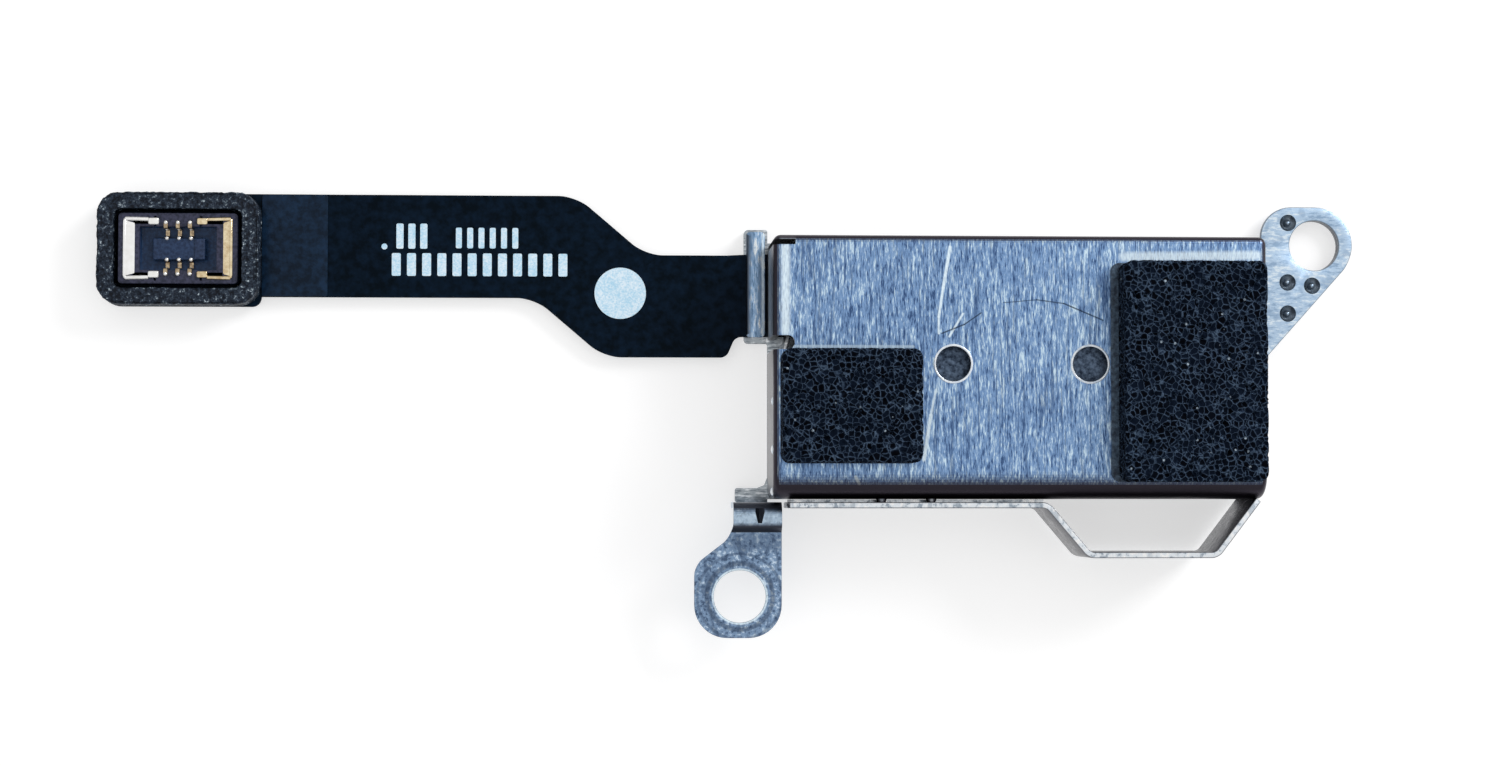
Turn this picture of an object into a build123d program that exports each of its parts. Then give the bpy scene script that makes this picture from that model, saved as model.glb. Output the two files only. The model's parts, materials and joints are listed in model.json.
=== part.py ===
from build123d import *
import os

# Rectangular linear vibration motor with a flexible circuit tail. Millimetres, +Z up.
# Origin: middle of the housing's underside. +X runs away from the tail, +Y along the width.

# Housing
can_length = 16.4
can_width = 8.7
can_height = 3.6
cover_sheet = 0.2
base_sheet = 0.25
corner_radius = 0.3
bend_radius = 0.42
tool_hole_radius = 0.625
tool_hole_pitch = 4.54
tool_hole_y = 0.1

# Left end of the cover: folded flange, relief slit and relief notch
flange_inset = 0.33
flange_width = 2.99
slit_width = 0.12
slit_depth = 0.73
notch_width = 0.46
notch_depth = 0.7

# Flexible circuit
flex_thickness = 0.12
flex_slot_clearance = 0.05
neck_inset = 0.38
neck_width = 2.82
inner_flex_margin = 0.3
tail_width = 3.47
tail_step = 2.0
tail_near_inset = 0.43
tail_near_length = 2.75
tail_diagonal_length = 2.35
tail_corner_radius = 1.6
neck_length = 0.35
neck_radius = 0.3
hinge_offset = 1.05
hinge_gap = 0.1

# Connector pad at the far end of the tail
pad_offset = 19.75
pad_radius = 0.75
pad_shift = -0.17
stiffener_thickness = 0.2
film_thickness = 0.03
film_length = 2.2
gasket_wall = 0.59
gasket_height = 0.85
gasket_gap_length = 0.135
gasket_gap_width = 0.13

# Board connector
socket_length = 3.95
socket_width = 2.36
socket_height = 0.7
socket_wall = 0.45
socket_end_wall = 0.7
socket_floor = 0.2
socket_radius = 0.12
island_length = 1.75
island_width = 0.76
island_height = 0.42
contact_pitch = 0.4
contacts_per_row = 3
contact_width = 0.15
contact_metal = 0.07
contact_tail = 0.1
contact_arm_drop = 0.06
contact_clearance = 0.02
clip_metal = 0.06
clip_inset = 0.15
clip_band = 0.42
clip_arm = 1.2
clip_arm_width = 0.2
clip_edge = 0.1

# Clamp bar over the tail
tongue_length = 0.85
tongue_margin = 0.25
clamp_offset = 0.1
clamp_length = 0.64
clamp_width = 3.58
clamp_sheet = 0.2
clamp_foot = 0.5
clamp_radius = 0.14

# Lower ear bracket, and the hoop strip welded to the side wall
bracket_sheet = 0.2
bracket_gap = 0.1
band_bottom = 0.3
band_top_drop = 0.4
band_start = 0.55
hoop_depth = 1.65
hoop_end_inset = 0.4
hoop_span = 6.9
hoop_left_run = 1.4
hoop_right_run = 1.25
hoop_radius = 0.35
weld_radius = 0.18
weld_inset = 3.6
weld_pitch = 1.65
weld_drop = 0.22
ear_bottom = 0.05
ear_top = 1.75
ear_root_top = 2.0
ear_root_length = 0.55
ear_step_run = 0.2
ear_bend_radius = 0.28
ear_neck_left = 1.23
ear_neck_right = 0.39
ear_left = 2.53
ear_reach = 4.62
ear_neck_length = 1.2
ear_flare = 1.0
ear_flare_radius = 0.9
ear_outer_radius = 1.1
ear_hole_left = 1.01
ear_hole_reach = 3.24
ear_hole_radius = 0.87

# Corner ear, two layers
corner_ear_sheet = 0.2
corner_hole_x = 2.4
corner_hole_y = 0.0
corner_hole_radius = 0.86
corner_ear_rim = 0.5
corner_ear_shoulder_x = 1.5
corner_ear_shoulder_y = 0.5
corner_ear_shoulder_radius = 0.85
corner_ear_root = 4.65
backer_inset = 0.12

# Low tab at the housing's lower left corner
tab_length = 1.1
tab_width = 0.38
tab_fillet = 0.35

# Foam pads on the cover
tape_thickness = 0.1
foam_thickness = 1.15
foam_radius = 0.3
left_foam_inset = 0.22
left_foam_length = 4.58
left_foam_low = 1.17
left_foam_high = 3.8
right_foam_inset = 0.28
right_foam_length = 4.72
right_foam_low = 0.56
right_foam_high = 0.9
right_tape_margin = 0.25

# Drive inside the housing
travel = 0.6
stop_gap = 0.05
spring_bay = 2.2
end_block = 0.9
coil_clearance = 0.2
coil_gap = 0.1
coil_window = 1.3
coil_height = 0.75
coil_corner = 0.8
coil_window_corner = 0.3
coil_overhang = 0.4
air_gap = 0.2
top_gap = 0.38
yoke_thickness = 0.3
yoke_margin = 0.35
mass_side_gap = 0.45
mass_rail = 1.0
mass_underside = 0.55
mass_corner = 0.3
magnet_fit = 0.03
magnet_overlap = 0.08
solder_radius = 0.22
solder_height = 0.12
solder_margin = 0.45

# Springs and end stops
spring_sheet = 0.15
spring_bottom = 0.75
spring_top_gap = 0.7
spring_tab = 1.2
spring_apex_gap = 0.75
spring_apex_radius = 0.32
clip_plate = 0.15
clip_plate_margin = 0.3
stop_width = 1.4
stop_corner_gap = 0.55
stop_spring_gap = 0.7
stop_bottom = 0.8
stop_height = 1.8

# Values that follow from the sizes above
half_length = can_length / 2
half_width = can_width / 2
inner_half_length = half_length - cover_sheet
inner_half_width = half_width - cover_sheet
inner_top = can_height - cover_sheet
flex_top = base_sheet + flex_thickness
coil_top = flex_top + coil_height
mass_half_length = inner_half_length - spring_bay
mass_half_width = inner_half_width - mass_side_gap
mass_top = inner_top - top_gap - yoke_thickness
magnet_bottom = coil_top + air_gap
coil_end = mass_half_length - end_block - travel - coil_clearance
coil_length = coil_end - coil_gap / 2
coil_winding = (coil_length - coil_window) / 2
magnet_half_width = mass_half_width - mass_rail
coil_half_width = magnet_half_width + coil_overhang
hinge_x = -half_length - hinge_offset
neck_high = half_width - neck_inset
neck_low = neck_high - neck_width
tail_near_high = half_width - tail_near_inset
tail_near_low = tail_near_high - tail_width
tail_far_high = tail_near_high + tail_step
tail_far_low = tail_near_low + tail_step
pad_length = socket_length + 2 * (gasket_gap_length + gasket_wall)
pad_width = socket_width + 2 * (gasket_gap_width + gasket_wall)
pad_x = -half_length - pad_offset
pad_y = (tail_far_high + tail_far_low) / 2 + pad_shift
socket_top = flex_top + socket_height
spring_top = mass_top - spring_top_gap + yoke_thickness
stop_high = inner_half_width - stop_corner_gap
stop_low = stop_high - stop_width
spring_tab_high = stop_low - stop_spring_gap
spring_tab_low = spring_tab_high - spring_tab
band_y = -half_width - bracket_gap - bracket_sheet / 2
band_top = can_height - band_top_drop


def slab(x0, x1, y0, y1, z0, z1):
    block = Box(x1 - x0, y1 - y0, z1 - z0)
    return Pos((x0 + x1) / 2, (y0 + y1) / 2, (z0 + z1) / 2) * block


def rounded_slab(x0, x1, y0, y1, z0, z1, radius):
    return fillet(slab(x0, x1, y0, y1, z0, z1).edges().filter_by(Axis.Z), radius)


def rounded_outline(points, radii, z0, z1):
    outline = FilletPolyline(*points, radius=radii, close=True)
    return Pos(0, 0, z0) * extrude(make_face(outline), amount=z1 - z0)


def upright_hole(x, y, radius):
    return Pos(x, y, can_height / 2) * Cylinder(radius, 2 * can_height)


def turned(piece):
    return Rot(0, 0, 180) * piece


def corner_ear_outline(inset, z0, z1):
    hole_x = half_length + corner_hole_x
    hole_y = half_width + corner_hole_y
    shoulder_x = half_length + corner_ear_shoulder_x
    shoulder_y = half_width + corner_ear_shoulder_y
    rim = Pos(hole_x, hole_y) * Circle(corner_hole_radius + corner_ear_rim - inset)
    shoulder = Pos(shoulder_x, shoulder_y) * Circle(corner_ear_shoulder_radius - inset)
    root_high = half_width - corner_radius - inset
    root_low = half_width - corner_ear_root + inset
    root = Line((half_length, root_low), (half_length, root_high))
    face = make_hull(rim.edges() + shoulder.edges() + root.edges())
    plate = Pos(0, 0, z0) * extrude(face, amount=z1 - z0)
    return plate - upright_hole(hole_x, hole_y, corner_hole_radius)


def base_plate():
    plate = rounded_slab(-half_length, half_length, -half_width, half_width, 0, base_sheet, corner_radius)
    tongue_low = neck_low - tongue_margin
    tongue_high = half_width + tongue_margin * 2
    tongue_end = -half_length - tongue_length
    plate += slab(tongue_end, -half_length + corner_radius, tongue_low, neck_high, 0, base_sheet)
    plate += slab(tongue_end, -half_length, tongue_low, tongue_high, 0, base_sheet)
    tab_end = -half_length - tab_length
    tab_high = -half_width + tab_width
    tab_low = -half_width - bracket_gap
    plate += slab(tab_end, -half_length + corner_radius, -half_width, tab_high, 0, base_sheet)
    plate += slab(tab_end, -half_length, tab_low, tab_high, 0, base_sheet)
    gusset = slab(-half_length - tab_fillet, -half_length, tab_high, tab_high + tab_fillet, 0, base_sheet)
    scoop = Pos(-half_length - tab_fillet, tab_high + tab_fillet, 0) * Cylinder(tab_fillet, 4 * base_sheet)
    plate += gusset - scoop
    return plate + corner_ear_outline(backer_inset, 0, base_sheet)


def corner_ear():
    return corner_ear_outline(0, base_sheet, base_sheet + corner_ear_sheet)


def top_cover():
    shell = rounded_slab(
        -half_length, half_length, -half_width, half_width, base_sheet, can_height, corner_radius
    )
    shell = fillet(shell.faces().sort_by(Axis.Z)[-1].edges(), bend_radius)
    room = rounded_slab(
        -inner_half_length,
        inner_half_length,
        -inner_half_width,
        inner_half_width,
        0,
        inner_top,
        corner_radius - cover_sheet,
    )
    room = fillet(room.faces().sort_by(Axis.Z)[-1].edges(), bend_radius - cover_sheet)
    shell -= room
    for side in (-1, 1):
        shell -= upright_hole(side * tool_hole_pitch / 2, tool_hole_y, tool_hole_radius)
    flange_high = half_width - flange_inset
    flange_low = flange_high - flange_width
    edge = -half_length - cover_sheet
    shell -= slab(edge, -half_length + slit_depth, flange_high, flange_high + slit_width, 0, can_height * 2)
    notch_end = -half_length + notch_depth - notch_width / 2
    notch_low = flange_low - notch_width
    shell -= slab(edge, notch_end, notch_low, flange_low, 0, can_height * 2)
    shell -= upright_hole(notch_end, flange_low - notch_width / 2, notch_width / 2)
    slot_top = flex_top + flex_slot_clearance
    shell -= slab(edge, -inner_half_length, flange_low, flange_high, 0, slot_top)
    return shell


def flex_clamp():
    right = -half_length - clamp_offset
    left = right - clamp_length
    high = half_width + tongue_margin * 2 - clamp_radius
    low = high - clamp_width
    bar = rounded_slab(left, right, low, high, flex_top, flex_top + clamp_sheet, clamp_radius)
    rolled = bar.edges().filter_by(Axis.Y).group_by(Axis.X)[0].sort_by(Axis.Z)[-1]
    bar = fillet(rolled, clamp_sheet * 0.8)
    foot_high = high - clamp_radius
    foot = slab(left + clamp_radius, right - clamp_radius, foot_high - clamp_foot, foot_high, base_sheet, flex_top)
    return bar + foot


def side_hoop():
    hoop_end = half_length - hoop_end_inset
    hoop_start = hoop_end - hoop_span
    hoop_y = band_y - hoop_depth
    route = FilletPolyline(
        (-half_length + band_start, band_y),
        (hoop_start, band_y),
        (hoop_start + hoop_left_run, hoop_y),
        (hoop_end - hoop_right_run, hoop_y),
        (hoop_end + hoop_right_run, band_y + hoop_depth),
        radius=hoop_radius,
    )
    band = Pos(0, 0, band_bottom) * extrude(trace(route, bracket_sheet), amount=band_top - band_bottom)
    band -= slab(-can_length, can_length, -half_width, can_width, -can_height, can_height * 2)
    for step in (0, 1):
        weld = Rot(90, 0, 0) * Cylinder(weld_radius, bracket_gap + bracket_sheet / 2)
        weld_x = -half_length + weld_inset + step * weld_pitch
        weld_y = -half_width - (bracket_gap + bracket_sheet / 2) / 2
        band += Pos(weld_x, weld_y, band_top - weld_drop) * weld
    return band


def ear_bracket():
    middle = bracket_sheet / 2
    step_y = band_y - middle - ear_root_length
    profile = FilletPolyline(
        (band_y, ear_bottom),
        (band_y, ear_root_top - middle),
        (step_y, ear_root_top - middle),
        (step_y - ear_step_run, ear_top - middle),
        (-half_width - ear_reach - bracket_sheet, ear_top - middle),
        radius=[ear_bend_radius, ear_bend_radius * 0.4, ear_bend_radius * 0.4],
    )
    left = -half_length - ear_left
    right = -half_length + ear_neck_right
    strip = extrude(Plane.YZ * trace(profile, bracket_sheet), amount=right - left)
    strip = Pos(left, 0, 0) * strip
    neck_left = -half_length - ear_neck_left
    far = -half_width - ear_reach
    neck_y = -half_width - ear_neck_length
    points = [
        (right, 0),
        (neck_left, 0),
        (neck_left, neck_y),
        (left, neck_y - ear_flare),
        (left, far),
        (right, far),
    ]
    radii = [0, 0, ear_flare_radius, ear_flare_radius * 0.8, ear_outer_radius, ear_outer_radius]
    plan = rounded_outline(points, radii, 0, can_height)
    hole = upright_hole(-half_length - ear_hole_left, -half_width - ear_hole_reach, ear_hole_radius)
    return (strip & plan) - hole


def foam_pad(x0, x1, low, high):
    bottom = can_height + tape_thickness
    return rounded_slab(x0, x1, low, high, bottom, bottom + foam_thickness, foam_radius)


def foam_pad_left():
    x0 = -half_length + left_foam_inset
    return foam_pad(x0, x0 + left_foam_length, -half_width + left_foam_low, half_width - left_foam_high)


def foam_pad_right():
    x1 = half_length - right_foam_inset
    return foam_pad(x1 - right_foam_length, x1, -half_width + right_foam_low, half_width - right_foam_high)


def tape(x0, x1, low, high):
    return rounded_slab(x0, x1, low, high, can_height, can_height + tape_thickness, foam_radius)


def tape_left():
    x0 = -half_length + max(left_foam_inset, bend_radius)
    x1 = -half_length + left_foam_inset + left_foam_length
    return tape(x0, x1, -half_width + left_foam_low, half_width - left_foam_high)


def tape_right():
    x0 = half_length - right_foam_inset - right_foam_length - right_tape_margin
    x1 = half_length - max(right_foam_inset, bend_radius)
    return tape(x0, x1, -half_width + right_foam_low, half_width - right_foam_high)


def flex_root():
    root_end = hinge_x + hinge_gap
    bed_x = coil_end + inner_flex_margin
    bed_y = coil_half_width + inner_flex_margin
    bed = rounded_slab(-bed_x, bed_x, -bed_y, bed_y, base_sheet, flex_top, neck_radius)
    return bed + slab(root_end, 0, neck_low, neck_high, base_sheet, flex_top)


def flex_tail():
    near_end = hinge_x - neck_length - tail_near_length
    diagonal_end = near_end - tail_diagonal_length
    skew = (tail_width + tail_step - tail_diagonal_length) * 0.45
    points = [
        (hinge_x, neck_high),
        (hinge_x - neck_length, neck_high),
        (hinge_x - neck_length, tail_near_high),
        (near_end, tail_near_high),
        (diagonal_end, tail_far_high),
        (pad_x, tail_far_high),
        (pad_x, tail_far_low),
        (diagonal_end - skew, tail_far_low),
        (near_end - skew, tail_near_low),
        (hinge_x - neck_length, tail_near_low),
        (hinge_x - neck_length + neck_radius, neck_low),
        (hinge_x, neck_low),
    ]
    corner = tail_corner_radius
    radii = [0, 0, 0, corner, corner, 0, 0, corner, corner, neck_radius, 0, 0]
    return rounded_outline(points, radii, base_sheet, flex_top) + connector_pad(0, base_sheet, flex_top)


def connector_pad(inset, z0, z1):
    half_x = pad_length / 2 - inset
    half_y = pad_width / 2 - inset
    return rounded_slab(
        pad_x - half_x, pad_x + half_x, pad_y - half_y, pad_y + half_y, z0, z1, pad_radius - inset
    )


def tail_stiffener():
    return connector_pad(gasket_wall * 0.1, base_sheet - stiffener_thickness, base_sheet)


def shield_film():
    x0 = pad_x + pad_length / 2
    return slab(x0, x0 + film_length, tail_far_low, tail_far_high, flex_top, flex_top + film_thickness)


def connector_gasket():
    top = flex_top + gasket_height
    return connector_pad(0, flex_top, top) - connector_pad(gasket_wall, 0, can_height)


def contact(row, index):
    x = pad_x + (index - (contacts_per_row - 1) / 2) * contact_pitch
    outer = socket_width / 2 + contact_tail
    wall_arm = socket_width / 2 - socket_wall
    island_arm = island_width / 2
    low = flex_top
    high = socket_top - contact_arm_drop
    island_high = flex_top + island_height
    strips = [
        (island_arm, outer, low, low + contact_metal),
        (wall_arm - contact_metal, wall_arm, low, high),
        (island_arm, island_arm + contact_metal, low, island_high),
    ]
    return [(x, row, strip) for strip in strips]


def contact_solid(pieces, clearance):
    solid = None
    half = contact_width / 2 + clearance
    for x, row, (y0, y1, z0, z1) in pieces:
        low, high = sorted((row * (y0 - clearance), row * (y1 + clearance)))
        block = slab(x - half, x + half, pad_y + low, pad_y + high, z0, z1 + clearance)
        solid = block if solid is None else solid + block
    return solid


def all_contacts():
    return [contact(row, index) for row in (-1, 1) for index in range(contacts_per_row)]


def signal_contacts():
    return Compound(children=[contact_solid(pieces, 0) for pieces in all_contacts()])


def connector_socket():
    half_x = socket_length / 2
    half_y = socket_width / 2
    body = rounded_slab(
        pad_x - half_x, pad_x + half_x, pad_y - half_y, pad_y + half_y, flex_top, socket_top, socket_radius
    )
    well_x = half_x - socket_end_wall
    well_y = half_y - socket_wall
    floor = flex_top + socket_floor
    body -= slab(pad_x - well_x, pad_x + well_x, pad_y - well_y, pad_y + well_y, floor, can_height)
    island_x = island_length / 2
    island_y = island_width / 2
    body += slab(
        pad_x - island_x, pad_x + island_x, pad_y - island_y, pad_y + island_y, flex_top, flex_top + island_height
    )
    for pieces in all_contacts():
        body -= contact_solid(pieces, contact_clearance)
    return body


def end_clip():
    half_y = socket_width / 2 - clip_edge
    x0 = pad_x - socket_length / 2 + clip_inset
    top = socket_top + clip_metal
    plate = slab(x0, x0 + clip_arm, pad_y - half_y, pad_y + half_y, socket_top, top)
    window_y = half_y - clip_arm_width
    window = slab(x0 + clip_band, x0 + 2 * clip_arm, pad_y - window_y, pad_y + window_y, 0, can_height)
    return plate - window


def end_clip_left():
    return end_clip()


def end_clip_right():
    return Pos(2 * pad_x, 0, 0) * mirror(end_clip(), Plane.YZ)


def coil():
    z0 = flex_top
    winding = rounded_slab(
        coil_gap / 2, coil_end, -coil_half_width, coil_half_width, z0, coil_top, coil_corner
    )
    window_half = coil_half_width - coil_winding
    window = rounded_slab(
        coil_gap / 2 + coil_winding,
        coil_end - coil_winding,
        -window_half,
        window_half,
        0,
        can_height,
        coil_window_corner,
    )
    return winding - window


def coil_right():
    return coil()


def coil_left():
    return turned(coil())


def coil_solder():
    window_x = coil_gap / 2 + coil_length / 2
    spots = []
    for side in (-1, 1):
        for end in (-1, 1):
            spot = Pos(side * window_x, end * solder_margin, flex_top + solder_height / 2)
            spots.append(spot * Cylinder(solder_radius, solder_height))
    return Compound(children=spots)


def magnet_spans():
    centre_half = coil_gap / 2 + coil_winding + magnet_overlap
    side_low = coil_end - coil_winding - magnet_overlap
    side_high = coil_end + magnet_overlap
    return {
        "magnet_left": (-side_high, -side_low),
        "magnet_centre": (-centre_half, centre_half),
        "magnet_right": (side_low, side_high),
    }


def magnet(x0, x1, fit):
    half_y = magnet_half_width + fit
    return slab(x0 - fit, x1 + fit, -half_y, half_y, magnet_bottom - fit, mass_top)


def mass_block():
    block = rounded_slab(
        -mass_half_length,
        mass_half_length,
        -mass_half_width,
        mass_half_width,
        mass_underside,
        mass_top,
        mass_corner,
    )
    bay_x = mass_half_length - end_block
    block -= slab(-bay_x, bay_x, -can_width, can_width, 0, magnet_bottom)
    for x0, x1 in magnet_spans().values():
        block -= magnet(x0, x1, magnet_fit)
    return block


def yoke_plate():
    x = mass_half_length - yoke_margin
    y = mass_half_width - yoke_margin
    return rounded_slab(-x, x, -y, y, mass_top, mass_top + yoke_thickness, mass_corner)


def spring():
    mass_face = mass_half_length + spring_sheet / 2
    wall_face = inner_half_length - spring_sheet / 2
    apex_x = (mass_face + wall_face) / 2
    apex_y = -inner_half_width + spring_apex_gap
    route = FilletPolyline(
        (mass_face, spring_tab_high),
        (mass_face, spring_tab_low),
        (apex_x - spring_apex_radius, apex_y),
        (apex_x + spring_apex_radius, apex_y),
        (wall_face, spring_tab_low),
        (wall_face, spring_tab_high),
        radius=[spring_apex_radius, spring_apex_radius * 0.7, spring_apex_radius * 0.7, spring_apex_radius],
    )
    return Pos(0, 0, spring_bottom) * extrude(trace(route, spring_sheet), amount=spring_top - spring_bottom)


def spring_clip(x0):
    low = spring_tab_low + clip_plate_margin
    z0 = spring_bottom + clip_plate_margin
    z1 = spring_top - clip_plate_margin
    return slab(x0, x0 + clip_plate, low, spring_tab_high, z0, z1)


def wall_clip():
    return spring_clip(inner_half_length - spring_sheet - clip_plate)


def mass_clip():
    return spring_clip(mass_half_length + spring_sheet)


def end_stop():
    face = mass_half_length + travel + stop_gap
    return rounded_slab(
        face, inner_half_length, stop_low, stop_high, stop_bottom, stop_bottom + stop_height, mass_corner
    )


pieces = {
    "base_plate": base_plate(),
    "top_cover": top_cover(),
    "corner_ear": corner_ear(),
    "flex_clamp": flex_clamp(),
    "side_hoop": side_hoop(),
    "ear_bracket": ear_bracket(),
    "foam_pad_left": foam_pad_left(),
    "foam_pad_right": foam_pad_right(),
    "tape_left": tape_left(),
    "tape_right": tape_right(),
    "flex_root": flex_root(),
    "coil_left": coil_left(),
    "coil_right": coil_right(),
    "coil_solder": coil_solder(),
    "spring_left": turned(spring()),
    "spring_right": spring(),
    "wall_clip_left": turned(wall_clip()),
    "wall_clip_right": wall_clip(),
    "end_stop_left": turned(end_stop()),
    "end_stop_right": end_stop(),
    "mass_block": mass_block(),
    "yoke_plate": yoke_plate(),
    "mass_clip_left": turned(mass_clip()),
    "mass_clip_right": mass_clip(),
    "flex_tail": flex_tail(),
    "tail_stiffener": tail_stiffener(),
    "shield_film": shield_film(),
    "connector_gasket": connector_gasket(),
    "connector_socket": connector_socket(),
    "signal_contacts": signal_contacts(),
    "end_clip_left": end_clip_left(),
    "end_clip_right": end_clip_right(),
}
for name, (low, high) in magnet_spans().items():
    pieces[name] = magnet(low, high, 0)

os.makedirs("parts", exist_ok=True)
for name, piece in pieces.items():
    export_step(piece, f"parts/{name}.step")
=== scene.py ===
import bpy
import bmesh
import json
import math
import random
from mathutils import Matrix, Vector, noise


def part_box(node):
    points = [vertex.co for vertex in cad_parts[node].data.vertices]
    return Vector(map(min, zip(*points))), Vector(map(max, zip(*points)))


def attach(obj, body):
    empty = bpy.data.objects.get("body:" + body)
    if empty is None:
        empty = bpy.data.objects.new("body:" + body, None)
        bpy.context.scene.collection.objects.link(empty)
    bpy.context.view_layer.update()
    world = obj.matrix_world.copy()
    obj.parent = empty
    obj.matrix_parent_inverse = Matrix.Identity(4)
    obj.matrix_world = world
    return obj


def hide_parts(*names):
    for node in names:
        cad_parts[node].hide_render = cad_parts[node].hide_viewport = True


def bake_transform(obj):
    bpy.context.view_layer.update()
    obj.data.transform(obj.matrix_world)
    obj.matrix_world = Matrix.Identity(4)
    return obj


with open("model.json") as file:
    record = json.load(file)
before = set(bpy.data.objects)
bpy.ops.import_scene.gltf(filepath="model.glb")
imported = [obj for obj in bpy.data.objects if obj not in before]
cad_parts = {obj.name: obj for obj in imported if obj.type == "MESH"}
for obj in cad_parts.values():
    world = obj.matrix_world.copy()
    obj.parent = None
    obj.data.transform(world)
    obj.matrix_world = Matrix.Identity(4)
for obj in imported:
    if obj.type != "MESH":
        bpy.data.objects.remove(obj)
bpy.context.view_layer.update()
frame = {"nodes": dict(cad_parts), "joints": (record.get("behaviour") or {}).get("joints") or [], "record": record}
print("frame loaded:", len(frame["nodes"]), "nodes")

# Meshes are modelled in millimetres and brought to metres when a piece is finished.
milli = 0.001


def span(node):
    low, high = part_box(node)
    return [value / milli for value in (low.x, high.x, low.y, high.y, low.z, high.z)]


def middle(a, b):
    return (a + b) / 2


# ---- mesh helpers

def addBlock(bm, x0, x1, y0, y1, z0, z1):
    made = bmesh.ops.create_cube(bm, size=1.0)["verts"]
    bmesh.ops.scale(bm, vec=(x1 - x0, y1 - y0, z1 - z0), verts=made)
    bmesh.ops.translate(bm, vec=(middle(x0, x1), middle(y0, y1), middle(z0, z1)), verts=made)
    return made


def edgesOf(verts):
    kept = set(verts)
    return [e for v in verts for e in v.link_edges if e.verts[0] in kept and e.verts[1] in kept and e.verts[0] == v]


def roundUprights(bm, radius, segments=8, edges=None):
    picked = [e for e in (edges or bm.edges) if abs((e.verts[0].co - e.verts[1].co).normalized().z) > 0.99]
    bmesh.ops.bevel(bm, geom=picked, offset=radius, segments=segments, profile=0.5, affect="EDGES", material=-1)


def softenEdges(bm, amount, segments=2, angle=50, keep=None):
    picked = [
        e for e in bm.edges
        if len(e.link_faces) == 2 and e.calc_face_angle(0) > math.radians(angle) and (keep is None or keep(e))
    ]
    bmesh.ops.bevel(
        bm, geom=picked, offset=amount, segments=segments, profile=0.5, affect="EDGES", material=-1, clamp_overlap=True
    )


def atHeight(z):
    return lambda e: all(abs(v.co.z - z) < 1e-4 for v in e.verts)


def roundedBlock(x0, x1, y0, y1, z0, z1, radius=0.0, edge=0.0, segments=8, topOnly=False):
    bm = bmesh.new()
    addBlock(bm, x0, x1, y0, y1, z0, z1)
    if radius:
        roundUprights(bm, radius, segments)
    if edge:
        softenEdges(bm, edge, 3, 50, atHeight(z1) if topOnly else None)
    return bm


def outlineLoop(bm, corners, z, closed=True):
    # corners are (x, y, radius); each corner is rounded by a vertex bevel of the flat face
    verts = [bm.verts.new((x, y, z)) for x, y, radius in corners]
    face = bm.faces.new(verts)
    count = len(corners)
    for i, (x, y, radius) in enumerate(corners):
        if not radius:
            continue
        here = Vector((x, y))
        before = Vector(corners[i - 1][:2]) - here
        after = Vector(corners[(i + 1) % count][:2]) - here
        turn = math.pi - before.angle(after)
        bmesh.ops.bevel(
            bm, geom=[verts[i]], offset=radius * math.tan(turn / 2), segments=10, profile=0.5,
            affect="VERTICES", material=-1,
        )
    return face


def plate(corners, holes, z0, z1, edge=0.02, holeSegments=56):
    bm = bmesh.new()
    outlineLoop(bm, corners, z0)
    bmesh.ops.delete(bm, geom=bm.faces[:], context="FACES_ONLY")
    for x, y, radius in holes:
        bmesh.ops.create_circle(bm, segments=holeSegments, radius=radius, matrix=Matrix.Translation((x, y, z0)))
    bmesh.ops.triangle_fill(bm, use_beauty=True, use_dissolve=False, edges=bm.edges[:], normal=(0, 0, 1))
    top = bmesh.ops.extrude_face_region(bm, geom=bm.faces[:])["geom"]
    bmesh.ops.translate(bm, vec=(0, 0, z1 - z0), verts=[g for g in top if isinstance(g, bmesh.types.BMVert)])
    bmesh.ops.recalc_face_normals(bm, faces=bm.faces[:])
    if edge:
        softenEdges(bm, edge, 2, 60)
    return bm


def joinInto(bm, other):
    holder = bpy.data.meshes.new("holder")
    other.to_mesh(holder)
    other.free()
    bm.from_mesh(holder)
    bpy.data.meshes.remove(holder)


def looseObject(bm, name):
    mesh = bpy.data.meshes.new(name)
    bm.to_mesh(mesh)
    bm.free()
    made = bpy.data.objects.new(name, mesh)
    bpy.context.scene.collection.objects.link(made)
    return made


def combine(bm, cutter, operation="DIFFERENCE"):
    # cuts or crosses one closed mesh with another, and gives back a fresh bmesh
    body = looseObject(bm, "cutBody")
    tool = looseObject(cutter, "cutTool")
    step = body.modifiers.new("cut", "BOOLEAN")
    step.operation = operation
    step.solver = "EXACT"
    step.object = tool
    shaped = bpy.data.meshes.new_from_object(body.evaluated_get(bpy.context.evaluated_depsgraph_get()))
    made = bmesh.new()
    made.from_mesh(shaped)
    for item in (body, tool):
        old = item.data
        bpy.data.objects.remove(item)
        bpy.data.meshes.remove(old)
    bpy.data.meshes.remove(shaped)
    return made


def cylinderTool(x, y, radius, z0, z1, segments=64):
    bm = bmesh.new()
    bmesh.ops.create_cone(
        bm, cap_ends=True, segments=segments, radius1=radius, radius2=radius, depth=z1 - z0,
        matrix=Matrix.Translation((x, y, middle(z0, z1))),
    )
    return bm


def crossCuts(bm, axis, low, high, spacing):
    # parallel cuts, so that a flat face can bend or take fine relief
    count = max(1, round((high - low) / spacing))
    normal = [0, 0, 0]
    normal[axis] = 1
    for i in range(1, count):
        place = [0, 0, 0]
        place[axis] = low + (high - low) * i / count
        bmesh.ops.bisect_plane(bm, geom=bm.verts[:] + bm.edges[:] + bm.faces[:], dist=1e-6, plane_co=place, plane_no=normal)


def noteSteepness(bm):
    # 0 where a surface lies flat, 1 where it stands upright
    layer = bm.faces.layers.float.new("steepness")
    bm.normal_update()
    for f in bm.faces:
        f[layer] = 1 - abs(f.normal.z)


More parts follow.
